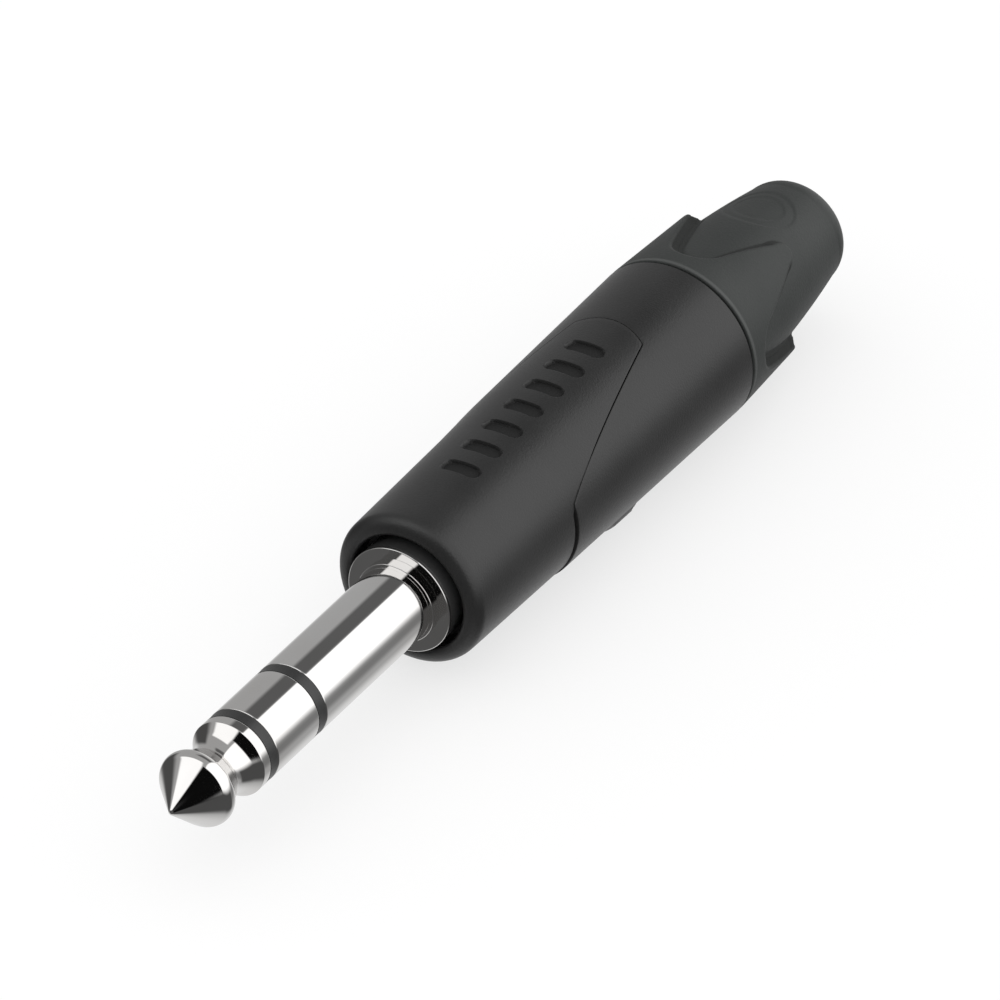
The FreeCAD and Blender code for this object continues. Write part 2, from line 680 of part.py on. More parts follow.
def build():
    """Every piece of the plug, by name."""
    return {
        "tip_contact": make_tip_contact(),
        "tip_insulator": make_insulator(x_tip_end, tip_tube_out),
        "tip_tube": tube(x_tip_end, x_lug_washer_rear, tip_tube_in, tip_tube_out),
        "ring_contact": make_ring_contact(),
        "ring_insulator": make_insulator(x_ring_rear, ring_tube_out),
        "ring_tube": tube(x_ring_rear, x_block_rear, ring_tube_in, ring_tube_out),
        "sleeve_contact": make_sleeve_contact(),
        "spacer_ring": make_spacer_ring(),
        "sleeve_lug": make_lug(x_stem_rear, sleeve_in, stem_r - knurl_depth, sleeve_tag_height,
                               sleeve_tag_length, sleeve_tag_turn),
        "terminal_block": make_terminal_block(),
        "ring_lug": make_lug(x_block_rear, ring_out, ring_lug_r, ring_lug_r, ring_tag_length,
                             ring_tag_turn),
        "lug_washer": tube(x_ring_lug_rear, x_lug_washer_rear, tip_tube_out, ring_lug_r),
        "tip_lug": make_lug(x_lug_washer_rear, rod_r, tip_lug_r, tip_lug_r, tip_tag_length,
                            tip_tag_turn),
        "rivet_washer": tube(x_tip_lug_rear, x_rivet_front, rod_r, rivet_washer_r),
        "insulating_tube": make_liner(),
        "front_shell": make_front_shell(),
        "body_shell": make_body_shell(),
        "chuck": make_chuck(),
        "gland_nut": make_gland_nut(),
        "boot": make_boot(),
    }


os.makedirs("parts", exist_ok=True)
for name, solid in build().items():
    print(name, len(solid.Solids), "solid", round(solid.Volume, 2), "mm3, valid", solid.isValid())
    solid.exportStep(os.path.join("parts", name + ".step"))
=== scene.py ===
# %% [markdown]
# A stereo jack plug, dressed over its solid model. The solids already stand in one shared frame:
# X runs along the plug with the tip towards -X and the cable end towards +X, and +Z is up. Sizes are
# written in millimetres, as on a drawing, and become metres only when a mesh is made.

# %% The frame
import math
import bpy
import numpy as np
from mathutils import Matrix


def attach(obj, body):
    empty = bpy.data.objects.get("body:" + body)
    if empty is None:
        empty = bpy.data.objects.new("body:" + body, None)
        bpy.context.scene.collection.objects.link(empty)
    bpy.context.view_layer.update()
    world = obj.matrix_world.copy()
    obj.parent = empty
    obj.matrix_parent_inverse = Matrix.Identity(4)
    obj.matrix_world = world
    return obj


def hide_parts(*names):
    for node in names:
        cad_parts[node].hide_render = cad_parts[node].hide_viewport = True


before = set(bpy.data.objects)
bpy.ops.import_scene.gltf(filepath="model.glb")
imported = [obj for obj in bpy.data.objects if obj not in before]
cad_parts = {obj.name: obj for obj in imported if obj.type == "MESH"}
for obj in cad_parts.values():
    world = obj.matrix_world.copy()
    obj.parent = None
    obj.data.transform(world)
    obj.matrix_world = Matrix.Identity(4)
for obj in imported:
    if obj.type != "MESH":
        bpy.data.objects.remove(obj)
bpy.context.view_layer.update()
MM, PER_METRE = 0.001, 1000.0
print("nodes:", sorted(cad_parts))

# %% [markdown]
# Every visible piece of this plug is either turned on a lathe or moulded round a turned core, so one
# kind of mesh serves for all: a grid whose columns go round the axis and whose rows run from place to
# place along the section. Its points come from array formulas. The grid is closed round the axis, and
# its rows either close on themselves, where the piece has a bore, or end in two poles on the axis.
# Face direction is settled by the enclosed volume, which is positive when all faces look outwards.

# %% A closed mesh from a grid of points
def grid_faces(rows, columns, has_bore):
    """Quads (r, c), (r, c + 1), (r + 1, c + 1), (r + 1, c) of a closed grid, and triangles at poles."""
    index = np.arange(rows * columns).reshape(rows, columns)
    if has_bore:
        below, above = index, np.roll(index, -1, axis=0)
        triangles = np.zeros((0, 3), int)
    else:
        below, above = index[1:-2], index[2:-1]
        ring_a, ring_b = index[1], index[-2]
        first = np.stack([np.full(columns, index[0, 0]), np.roll(ring_a, -1), ring_a], axis=1)
        last = np.stack([np.full(columns, index[-1, 0]), ring_b, np.roll(ring_b, -1)], axis=1)
        triangles = np.concatenate([first, last])
    quads = np.stack([below, np.roll(below, -1, axis=1), np.roll(above, -1, axis=1), above], axis=2)
    return quads.reshape(-1, 4), triangles


def enclosed_volume(points, quads, triangles):
    """Sum over all triangles of a . (b x c) / 6, with each quad cut in two."""
    split = np.concatenate([triangles, quads[:, [0, 1, 2]], quads[:, [0, 2, 3]]])
    a, b, c = (points[split[:, i]] for i in range(3))
    return float(np.einsum("ij,ij->", a, np.cross(b, c))) / 6.0


# %% The mesh itself
def closed_piece(name, grid, body, sharp, has_bore=True):
    """Mesh of a (rows, columns, 3) grid in millimetres, placed at the origin and riding on the body.
    Edges that turn by more than sharp degrees stay crisp."""
    rows, columns = grid.shape[:2]
    points = grid.reshape(-1, 3)
    quads, triangles = grid_faces(rows, columns, has_bore)
    if enclosed_volume(points, quads, triangles) < 0:
        quads, triangles = quads[:, ::-1], triangles[:, ::-1]
    used, corners = np.unique(np.concatenate([quads.ravel(), triangles.ravel()]), return_inverse=True)
    starts = np.concatenate([np.arange(len(quads)) * 4, len(quads) * 4 + np.arange(len(triangles)) * 3])
    mesh = bpy.data.meshes.new(name)
    mesh.vertices.add(len(used))
    mesh.vertices.foreach_set("co", (points[used] * MM).ravel())
    mesh.loops.add(len(corners))
    mesh.loops.foreach_set("vertex_index", corners.astype(np.int32))
    mesh.polygons.add(len(starts))
    mesh.polygons.foreach_set("loop_start", starts.astype(np.int32))
    mesh.update(calc_edges=True)
    mesh.polygons.foreach_set("use_smooth", np.ones(len(starts), bool))
    mesh.set_sharp_from_angle(angle=math.radians(sharp))
    piece = bpy.data.objects.new(name, mesh)
    bpy.context.scene.collection.objects.link(piece)
    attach(piece, body)
    print(name, "triangles:", 2 * len(quads) + len(triangles))
    return piece


# %% Sections and turning
def polar(x, angle, radius):
    """Points at station x and distance radius from the axis; the angle runs from +Z towards -Y."""
    x, angle, radius = np.broadcast_arrays(x, angle, radius)
    return np.stack([x, -radius * np.sin(angle), radius * np.cos(angle)], axis=-1)


def turned(section, columns=192):
    """The (x, radius) section carried round the axis: one column for each angle 2 pi k / columns."""
    angle = np.arange(columns) * 2.0 * np.pi / columns
    return polar(section[:, :1], angle[None, :], section[:, 1:])


def sweep(centre, radius, start, stop, steps):
    """An arc in section: centre + radius (sin a, cos a), a from start to stop in degrees."""
    a = np.radians(np.linspace(start, stop, steps + 1))[:, None]
    return np.array(centre) + radius * np.concatenate([np.sin(a), np.cos(a)], axis=1)


def eased(corners, closed=True, steps=5, hold=0.2):
    """A section through (x, radius, round) corners. Each corner gives way to the arc that touches both
    its sides at round * tan(turn / 2) from it; the arc is start + round (sin t * a + (1 - cos t) * n),
    with a along the first side and n square to it, towards the second. A point hold * round beyond
    each end of the arc keeps the sides flat under smooth shading."""
    corners = np.array(corners, float)
    place, size = corners[:, :2], corners[:, 2].copy()
    arriving = place - np.roll(place, 1, axis=0)
    leaving = np.roll(place, -1, axis=0) - place
    if not closed:
        size[[0, -1]] = 0.0
        arriving[0], leaving[-1] = leaving[0], arriving[-1]
    a = arriving / np.linalg.norm(arriving, axis=1, keepdims=True)
    b = leaving / np.linalg.norm(leaving, axis=1, keepdims=True)
    cosine = np.clip((a * b).sum(axis=1), -1.0, 1.0)
    turn = np.arccos(cosine)
    normal = b - a * cosine[:, None]
    normal = normal / np.maximum(np.linalg.norm(normal, axis=1, keepdims=True), 1e-9)
    t = turn[:, None, None] * np.linspace(0.0, 1.0, steps + 1)[None, :, None]
    start = place - a * (size * np.tan(turn / 2.0))[:, None]
    bend = np.sin(t) * a[:, None, :] + (1.0 - np.cos(t)) * normal[:, None, :]
    arc = start[:, None, :] + size[:, None, None] * bend
    before = arc[:, :1] - hold * size[:, None, None] * a[:, None, :]
    after = arc[:, -1:] + hold * size[:, None, None] * b[:, None, :]
    points = np.concatenate([before, arc, after], axis=1).reshape(-1, 2)
    step = np.linalg.norm(points - np.roll(points, 1, axis=0), axis=1)
    step[0] = 1.0 if not closed else step[0]
    together = 1e-5
    return points[step > together]


# %% [markdown]
# The finger of the plug is three plated contacts with black rings moulded between them. The tip is
# a lathe shape: a small round point, a cone, the ball that a socket's spring rides over, the neck that
# it drops into, and a flare back up to the full 6.35 mm. Small rounds on the metal edges matter more
# than anything else here, because a polished edge with no round catches no light at all.

# %% The tip
finger_r, metal_round, metal_sharp = 3.175, 0.12, 50.0
tip_end, ring_front, ring_rear, sleeve_front = -21.8, -20.83, -15.28, -14.31
point_x, point_round, cone_side = -30.05, 0.35, 43.0
ball_x, ball_round, ball_side = -26.85, 0.95, 52.0
neck_x, neck_r, neck_front_round, neck_rear_round = -24.6, 2.15, 0.9, 2.0
flare_side, flare_x = 42.0, -22.7
rod_r, rivet_r, rivet_front, rod_end, rivet_round = 0.9, 1.5, 12.95, 13.75, 0.4

point = sweep((point_x, 0.0), point_round, -90.0, -cone_side, 8)
ball = sweep((ball_x, finger_r - ball_round), ball_round, -cone_side, ball_side, 20)
neck_front = sweep((neck_x, neck_r + neck_front_round), neck_front_round, 180.0 + ball_side, 180.0, 14)
neck_rear = sweep((neck_x, neck_r + neck_rear_round), neck_rear_round, 180.0, 180.0 - flare_side, 20)
flare_start = (*neck_rear[-1], 0.0)
tip_rear = eased([flare_start, (flare_x, finger_r, metal_round), (tip_end, finger_r, metal_round),
                  (tip_end, rod_r, 0.0), (rivet_front, rod_r, 0.0), (rivet_front, rivet_r, 0.0),
                  (rod_end, rivet_r, rivet_round), (rod_end, 0.0, 0.0)], closed=False)
tip_section = np.concatenate([point, ball, neck_front, neck_rear[1:-1], tip_rear])
tip = closed_piece("tip_plating", turned(tip_section), "plug", metal_sharp, has_bore=False)
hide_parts("tip_contact")

# %% The ring, with the tube that carries it back
ring_bore, ring_tube_r, ring_tube_end = 1.5, 2.0, 11.05
ring_section = eased([(ring_front, ring_bore, 0.0), (ring_tube_end, ring_bore, 0.0),
                      (ring_tube_end, ring_tube_r, 0.0), (ring_rear, ring_tube_r, 0.0),
                      (ring_rear, finger_r, metal_round), (ring_front, finger_r, metal_round)])
ring = closed_piece("ring_plating", turned(ring_section), "plug", metal_sharp)
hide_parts("ring_contact")

# %% Section of the sleeve: bore, stem, flange, collar and the long front
sleeve_bore, collar_r, flange_front, flange_r, flange_rear = 2.6, 3.36, 0.45, 4.5, 0.75
stem_r, stem_front, stem_rear, stem_round = 3.7, 3.45, 7.25, 0.1
knurl_depth, knurl_count = 0.15, 24
root_r = stem_r - knurl_depth
sleeve_section = eased([(sleeve_front, sleeve_bore, 0.0), (stem_rear, sleeve_bore, 0.0),
                        (stem_rear, stem_r, stem_round), (stem_front, stem_r, 0.0),
                        (stem_front, root_r, 0.0), (flange_rear, root_r, 0.0),
                        (flange_rear, flange_r, 0.05), (flange_front, flange_r, 0.07),
                        (flange_front, collar_r, 0.0), (0.0, collar_r, 0.05),
                        (0.0, finger_r, 0.0), (sleeve_front, finger_r, metal_round)])

# %% The sleeve with its knurled stem
# The knurl's valleys are 0.5 - 1.4 cos(knurl_count * angle), cut off at 0 and 1, times knurl_depth.
columns, near = 12 * knurl_count, 0.01
angle = np.arange(columns)[None, :] * 2.0 * np.pi / columns
station, radius = sleeve_section[:, :1], sleeve_section[:, 1:]
on_knurl = (station > stem_front - near) & (station < stem_rear + near) & (radius > root_r + near)
valley = np.clip(0.5 - 1.4 * np.cos(knurl_count * angle), 0.0, 1.0)
knurled = polar(station, angle, radius - on_knurl * knurl_depth * valley)
sleeve = closed_piece("sleeve_plating", knurled, "plug", metal_sharp)
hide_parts("sleeve_contact")

# %% [markdown]
# The two black rings of the finger and the ring behind the flange are moulded nylon. They fill the
# gaps flush, but moulded plastic shrinks a hair as it cools, so their surface dips slightly in the
# middle. The dip is far too small to measure, yet it gives the rings their own soft highlight.

# %% Black rings
insulator_length, shrink, dip = 0.97, 0.004, 0.02
seat_r, seat_round = 4.45, 0.08


def black_ring(name, node, front, inner):
    """A short tube whose outside is finger_r - shrink - dip (1 - (2 s - 1)^2), s from 0 to 1 along it."""
    share = np.linspace(0.0, 1.0, 13)[:, None]
    outside_r = finger_r - (shrink + dip * (1.0 - (2.0 * share - 1.0) ** 2))
    outside = np.concatenate([front + insulator_length * share, outside_r], axis=1)
    section = np.concatenate([outside, [[front + insulator_length, inner], [front, inner]]])
    piece = closed_piece(name, turned(section), "plug", metal_sharp)
    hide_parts(node)
    return piece


tip_ring = black_ring("tip_black_ring", "tip_insulator", tip_end, ring_bore)
sleeve_ring = black_ring("ring_black_ring", "ring_insulator", ring_rear, sleeve_bore)
seat_section = eased([(flange_rear, stem_r, 0.0), (stem_front, stem_r, 0.0),
                      (stem_front, seat_r, 0.0), (flange_rear, seat_r, seat_round)])
seat_ring = closed_piece("seat_black_ring", turned(seat_section), "plug", metal_sharp)
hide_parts("spacer_ring")

# %% [markdown]
# The housing is two mouldings that snap together. The front one is a nose with a long tongue on top,
# and the tongue fills a window in the rear one. Both edges are one curve that goes once round the
# axis, so each half is a grid whose columns start or end on that curve. The curve is drawn in plan,
# laid on the surface, softened a little at its corners and divided finely where detail needs it.

# %% Radii of the housing
split_front, split_rear = 14.78, 15.1
tongue_rear, tongue_bow, corner_y, side_slope = 31.47, 0.83, 3.071, 0.22
flush_station, window_gap = 20.38, 0.07
body_front_r, body_rear, body_rear_r = 6.81, 39.95, 7.21
nose_rear_r, nose_slope = 6.68, 0.0205
unrolled_r, corner_softness, shell_sharp = 7.0, 0.25, 30.0


def body_radius(x):
    """Straight taper from body_front_r at the split to body_rear_r at the rear edge."""
    return body_front_r + (body_rear_r - body_front_r) * (x - split_rear) / (body_rear - split_rear)


def nose_radius(x):
    """Straight taper: nose_rear_r at the split, less nose_slope for each millimetre ahead of it."""
    return nose_rear_r - nose_slope * (split_front - x)


def top_radius(x):
    """The nose's taper up to the split, then a straight climb to the body's radius, then the body's."""
    share = (x - split_front) / (flush_station - split_front)
    climb = nose_rear_r + (body_radius(flush_station) - nose_rear_r) * share
    return np.where(x <= split_front, nose_radius(x), np.where(x < flush_station, climb, body_radius(x)))


# %% The edge curve of tongue and window
def tongue_edge(front, margin, radius_of):
    """Half the edge, from the top (angle 0) round to the underside (angle pi), as (x, angle) rows.
    In plan: an arc bowed out at the rear, straight sides y = corner_y + side_slope (x_corner - x),
    both moved out by margin along the surface, then the ring at the front station."""
    x_corner = tongue_rear - tongue_bow
    bow_r = (corner_y ** 2 + tongue_bow ** 2) / (2.0 * tongue_bow)
    bend = np.linspace(0.0, math.asin(corner_y / bow_r), 120)
    rear_x = tongue_rear - bow_r + (bow_r + margin) * np.cos(bend)
    rear_y = (bow_r + margin) * np.sin(bend)
    rear_angle = np.arcsin(rear_y / radius_of(rear_x))
    side_x = np.linspace(x_corner, front, 900)
    widest = 0.9999 * radius_of(side_x)
    side_y = np.minimum(corner_y + side_slope * (x_corner - side_x), widest)
    along = radius_of(side_x) * np.arcsin(side_y / radius_of(side_x))
    lean = np.gradient(along, side_x)
    side_angle = (along + margin * np.hypot(1.0, lean)) / radius_of(side_x)
    ring_angle = np.linspace(side_angle[-1], np.pi, 300)[1:]
    x = np.concatenate([rear_x, side_x, np.full(len(ring_angle), front)])
    angle = np.concatenate([rear_angle, side_angle, ring_angle])
    return np.stack([x, angle], axis=1)


# %% Softening and dividing an edge curve
def evenly(curve, radius, spacing):
    """The curve divided so that a step of length ds near angle a is about spacing(a) long."""
    flat = np.stack([curve[:, 0], curve[:, 1] * radius], axis=1)
    length = np.linalg.norm(np.diff(flat, axis=0), axis=1)
    count = np.concatenate([[0.0], np.cumsum(length / spacing((curve[1:, 1] + curve[:-1, 1]) / 2.0))])
    wanted = np.linspace(0.0, count[-1], int(round(count[-1])) + 1)
    return np.stack([np.interp(wanted, count, curve[:, i]) for i in range(2)], axis=1)


def softened(curve, radius, width, step=0.02):
    """Mean of the curve over a window of that width, which rounds its corners. The curve is first
    divided into equal steps and mirrored at both ends, so that they stay square to the mirror plane."""
    fine = evenly(curve, radius, lambda a: np.full_like(a, step))
    reach = max(int(width / step / 2.0), 1)
    before = fine[1:reach + 1][::-1] * [1.0, -1.0] + [0.0, 2.0 * fine[0, 1]]
    after = fine[-reach - 1:-1][::-1] * [1.0, -1.0] + [0.0, 2.0 * fine[-1, 1]]
    padded = np.concatenate([before, fine, after])
    kernel = np.full(2 * reach + 1, 1.0 / (2 * reach + 1))
    return np.stack([np.convolve(padded[:, i], kernel, mode="valid") for i in range(2)], axis=1)


# %% Closing an edge curve
def whole(half):
    """Both halves: the given one, and its mirror image at minus the angle, without the shared ends."""
    mirror = half[1:-1][::-1] * [1.0, -1.0] + [0.0, 2.0 * np.pi]
    return np.concatenate([half, mirror])


def outward(curve, radius):
    """Unit normals of the closed curve on the unrolled surface, towards the cable end, as (x, s): the
    direction from the point before to the point after, turned by a right angle."""
    ahead = np.roll(curve, -1, axis=0) - np.roll(curve, 1, axis=0)
    ahead[:, 1] = (ahead[:, 1] + np.pi) % (2.0 * np.pi) - np.pi
    along = ahead * np.stack([np.ones(len(curve)), radius], axis=1)
    along = along / np.linalg.norm(along, axis=1, keepdims=True)
    return np.stack([along[:, 1], -along[:, 0]], axis=1)


# %% [markdown]
# The top of the tongue carries a row of plain grip bars with round ends. They are a dip in the same
# grid: the distance to each bar's outline is known by formula, and the surface sinks over the last
# tenth of a millimetre before it. The grid's rows crowd together at the bars' edges so that the walls
# come out clean. How far each point is sunk is also kept as an attribute of the mesh, bar_floor, so
# that the finish can be duller down there and darker with painted shade, a shadow painted into the
# colour of the bars' floors.

# %% Grip bars
bar_first, bar_pitch, bar_count, bar_half, bar_r, bar_depth = 9.64, 2.943, 7, 0.96, 0.69, 0.28
bar_edge = 0.10


def bar_dip(x, y):
    """0 to 1: how far inside the nearest bar a point lies. A bar is every place closer than bar_r to a
    short line across the tongue; the dip eases in over bar_edge, as s^2 (3 - 2 s)."""
    nearest = np.clip(np.round((x - bar_first) / bar_pitch), 0, bar_count - 1)
    inside = bar_r - np.hypot(x - bar_first - nearest * bar_pitch, np.maximum(np.abs(y) - bar_half, 0.0))
    share = np.clip(inside / bar_edge + 0.5, 0.0, 1.0)
    return share * share * (3.0 - 2.0 * share)


def column_spacing(angle):
    """Fine over the bars' round ends, medium on the tongue, coarse round the rest of the nose."""
    a = np.degrees(angle)
    return np.select([a < 7.5, a < 15.5, a < 26.0, a < 84.0], [0.16, 0.075, 0.16, 0.28], 0.55)


# %% Columns and rows of the nose
nose_edge = softened(tongue_edge(split_front, 0.0, top_radius), unrolled_r, corner_softness)
edge = whole(evenly(nose_edge, unrolled_r, column_spacing))
edge_x, edge_angle = edge[:, 0], edge[:, 1]
edge_normal = outward(edge, top_radius(edge_x))
front_row, last_bar, rim_room = 3.5, 28.95, 0.3
to_middle = np.array([-1.15, -0.92, -0.80, -0.76, -0.73, -0.70, -0.67, -0.64, -0.6, -0.46, -0.33, -0.16])
bar_rows = np.concatenate([to_middle, [0.0], -to_middle[::-1], [bar_pitch / 2.0]])
bar_places = bar_first + bar_pitch * np.arange(bar_count)[:, None]
ahead_of_bars, behind_bars = np.arange(front_row, 8.0, 0.5), np.arange(29.1, 31.05, 0.3)
rows = np.concatenate([ahead_of_bars, (bar_places + bar_rows).ravel(), behind_bars])[:, None]
print("nose: rows", len(rows), "columns", len(edge))

# %% The outside of nose and tongue
# Across the bars the rows stay straight. Behind them, and on the columns that end before the tongue's
# rear, they share out the room that is left up to rim_room ahead of the edge.
top_edge, column_end = tongue_rear - rim_room, edge_x - rim_room
squeezed = last_bar + (rows - last_bar) * (column_end - last_bar) / (top_edge - last_bar)
steady = np.where(rows < last_bar, rows, squeezed)
scaled = front_row + (rows - front_row) * (column_end - front_row) / (top_edge - front_row)
blend_start, blend_width = 0.15, 0.7
blend = np.clip((tongue_rear - blend_start - edge_x) / blend_width, 0.0, 1.0)
outer_x = steady * (1.0 - blend) + scaled * blend
outer_angle = np.broadcast_to(edge_angle, outer_x.shape)
outer_r = top_radius(outer_x)
on_top = np.cos(outer_angle) > 0.5
bar_floor = on_top * bar_dip(outer_x, outer_r * np.sin(outer_angle))
outer = polar(outer_x, outer_angle, outer_r - bar_depth * bar_floor)


# %% The rounded rim of the tongue
def edge_rows(size, inward):
    """Quarter round along the edge curve: t from 0 to 90 degrees, size (1 - sin t) away from the edge
    and size (1 - cos t) below the surface. inward is -1 if the piece lies ahead of the edge, else 1."""
    t = np.linspace(0.0, np.pi / 2.0, 6)[:, None]
    return inward * size * (1.0 - np.sin(t)), size * (1.0 - np.cos(t))


rim_round, lip_round = 0.04, 0.05
away, sunk = edge_rows(rim_round, -1)
rim_x = edge_x + edge_normal[:, 0] * away
rim_angle = edge_angle + edge_normal[:, 1] * away / top_radius(edge_x)
rim = polar(rim_x, rim_angle, top_radius(rim_x) - sunk)

# %% The mouth and the inside of the nose
nose_face, mouth_r, tongue_floor_r, spigot_r, spigot_bore, spigot_rear = 1.45, 4.9, 5.91, 5.64, 4.99, 22.38
lip_r = float(nose_radius(nose_face))
face_width = lip_r - mouth_r
mouth = eased([(stem_rear, stem_r, 0.0), (stem_front, stem_r, 0.0), (stem_front, mouth_r, 0.0),
               (nose_face, mouth_r, 0.25 * face_width), (nose_face, lip_r, 0.75 * face_width),
               (front_row, float(nose_radius(front_row)), 0.0)], closed=False, steps=10, hold=0.0)
mouth_rows = polar(mouth[:-1, :1], edge_angle, mouth[:-1, 1:])
on_tongue = edge_x > split_front + 0.4
wall = polar(edge_x, edge_angle, np.where(on_tongue, tongue_floor_r, spigot_r)[None, :])
spigot_section = np.array([[spigot_rear, spigot_r], [spigot_rear, spigot_bore], [stem_rear, spigot_bore]])
spigot = polar(spigot_section[:, :1], edge_angle, spigot_section[:, 1:])

# %% The front moulding
nose_grid = np.concatenate([mouth_rows, outer, rim, wall, spigot])
nose = closed_piece("nose_and_tongue", nose_grid, "plug", shell_sharp)
# The sunk share also drives the painted shade that the housing finish puts into the bars' floors.
sunk_share = np.zeros(nose_grid.shape[:2])
sunk_share[len(mouth_rows):len(mouth_rows) + len(outer)] = bar_floor
nose.data.attributes.new("bar_floor", "FLOAT", "POINT").data.foreach_set("value", sunk_share.ravel())
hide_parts("front_shell")

# %% [markdown]
# The rear moulding carries the window, a raised pad round its underside and a small flat foot in the
# middle of the pad, on which the plug lies. Pad and foot are added to the radius of the same grid.
# Inside, a groove along the bottom guides the rib of the sliding chuck and keeps it from turning.

# %% Pad and foot
pad_front, pad_rear, pad_height, pad_half, pad_slope = 21.83, 25.33, 0.23, 53.0, 0.7
foot_half, foot_depth, foot_inset, foot_slope = 2.15, 7.1, 0.46, 0.2


def ramp(distance, width):
    """0 outside, 1 inside, straight over the given width."""
    return np.clip(distance / width, 0.0, 1.0)


def padded_radius(x, angle):
    """Body radius, plus pad_height s^2 (3 - 2 s) with s climbing over pad_slope inside the pad's edge,
    and at least foot_depth / cos(angle from the underside) on the flat foot."""
    under = np.abs(angle - np.pi)
    base = body_radius(x)
    to_ends = np.minimum(x - pad_front, pad_rear - x)
    rise = ramp(np.minimum(to_ends, base * (math.radians(pad_half) - under)), pad_slope)
    pad = base + pad_height * rise * rise * (3.0 - 2.0 * rise)
    flat = foot_depth / np.maximum(np.cos(under), 0.5)
    to_foot_edge = np.minimum(to_ends - foot_inset, foot_half - pad * np.sin(under))
    near_bottom = np.cos(under) > 0.8
    return pad + np.maximum(flat - pad, 0.0) * ramp(to_foot_edge, foot_slope) * near_bottom


# %% Columns of the rear moulding and the lip of its window
def window_spacing(angle):
    """Fine round the tongue's end, medium elsewhere, fine again beside the foot and the pad's ends."""
    a = np.degrees(angle)
    beside = (np.abs(a - 127.0) < 2.5) | (np.abs(a - 162.5) < 2.5)
    return np.select([a < 26.0, a < 84.0, beside], [0.16, 0.25, 0.08], 0.3)


window_edge = softened(tongue_edge(split_rear, window_gap, body_radius), unrolled_r, corner_softness)
frame_edge = whole(evenly(window_edge, unrolled_r, window_spacing))
frame_x, frame_angle = frame_edge[:, 0], frame_edge[:, 1]
frame_normal = outward(frame_edge, body_radius(frame_x))
away, sunk = edge_rows(lip_round, 1)
lip_x = frame_x + frame_normal[:, 0] * away
lip_angle = frame_angle + frame_normal[:, 1] * away / body_radius(frame_x)
lip = polar(lip_x, lip_angle, body_radius(lip_x) - sunk)[::-1]

# %% Its outside, with rows that crowd together at both ends of the pad
near_pad = np.array([-0.15, 0.0, 0.06, 0.12, 0.18, 0.23, 0.32, 0.44, 0.5, 0.56, 0.62, 0.7])
skin_front, skin_rear, lip_room, rear_edge_r = 15.4, 39.77, 0.3, 7.03
stations = np.concatenate([np.arange(skin_front, 21.4, 0.6), pad_front + near_pad,
                           np.arange(22.9, 24.4, 0.5), pad_rear - near_pad[::-1],
                           np.arange(26.0, 39.6, 0.8), [skin_rear]])[:, None]
column_room = (skin_rear - frame_x - lip_room) / (skin_rear - skin_front)
skin_x = frame_x + lip_room + (stations - skin_front) * column_room
skin = polar(skin_x, frame_angle, padded_radius(skin_x, frame_angle))
chamfer = polar(np.array([[body_rear]]), frame_angle, np.array([[rear_edge_r]]))

# %% Its inside: thread bore, chuck bore with the rib's groove, and the floor round the window
thread_bore_r, thread_bore_front, chuck_bore_r, chuck_bore_front = 5.91, 31.9, 5.31, 22.7
groove_r, groove_half = 5.66, 0.175
bore = np.array([[body_rear, thread_bore_r], [thread_bore_front, thread_bore_r],
                 [thread_bore_front, chuck_bore_r], [chuck_bore_front, chuck_bore_r]])
in_groove = (np.abs(frame_angle - np.pi) < groove_half) & (bore[:, 1:] < groove_r)
inside = polar(bore[:, :1], frame_angle, np.where(in_groove, groove_r, bore[:, 1:]))
floor_r = np.where(frame_x > chuck_bore_front, 5.86, 5.69)[None, :]
step = polar(chuck_bore_front, frame_angle, floor_r)
foot_of_wall = polar(frame_x, frame_angle, floor_r)

# %% The rear moulding
body_grid = np.concatenate([foot_of_wall, lip, skin, chamfer, inside, step])
body = closed_piece("rear_moulding", body_grid, "plug", shell_sharp)
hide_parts("body_shell")

# %% [markdown]
# The boot is soft rubber: a ring, four petals with rounded ends and between them four U-shaped scallops
# cut down to a smooth core. Again one edge curve goes round the axis, here along the scallops and the
# petals' ends. From it the surface rolls over the rubber's soft edge, drops down the scallop's wall,
# turns out through a small fillet and runs back along the core, over the round end and into the
# cable's bore.

# %% Outlines of the boot
boot_front, petal_end, tip_length, core_end, scallop_front = 40.1, 49.7, 1.2, 57.155, 42.0
scallop_r, scallop_lean = 2.3, 0.36
skirt_front_r, skirt_end_r = 7.21, 6.73
core_front_r, core_fall, core_bulge = 6.21, 1.58, 0.37


def skirt_radius(x):
    """Straight taper of the petals' outside."""
    return skirt_front_r + (skirt_end_r - skirt_front_r) * (x - boot_front) / (petal_end - boot_front)


def core_radius(x):
    """core_front_r less core_fall s plus a bulge of 4 core_bulge s (1 - s), s from the seam to the
    core's end."""
    s = (x - boot_front) / (core_end - boot_front)
    return core_front_r - core_fall * s + 4.0 * core_bulge * s * (1.0 - s)


# %% The edge curve of scallops and petals
def scallop_edge():
    """Eighth of the boot's edge, from a scallop's middle (angle 0) to a petal's middle (45 degrees):
    y = r sin t, x = front + r (1 - cos t) round the U, then straight sides, then the petal's rounded
    end, a quarter of an ellipse with x = start + tip_length sin t and the width to the middle as cos t."""
    lean = math.atan(scallop_lean)
    t = np.linspace(0.0, np.pi / 2.0 - lean, 200)
    u_x = scallop_front + scallop_r * (1.0 - np.cos(t))
    u_y = scallop_r * np.sin(t)
    side_x = np.linspace(u_x[-1], petal_end - tip_length, 500)[1:]
    side_y = u_y[-1] + scallop_lean * (side_x - u_x[-1])
    x, y = np.concatenate([u_x, side_x]), np.concatenate([u_y, side_y])
    angle = np.arcsin(y / skirt_radius(x))
    t = np.linspace(0.0, np.pi / 2.0, 100)[1:]
    end_angle = np.pi / 4.0 - (np.pi / 4.0 - angle[-1]) * np.cos(t)
    return np.stack([np.append(x, x[-1] + tip_length * np.sin(t)), np.append(angle, end_angle)], axis=1)


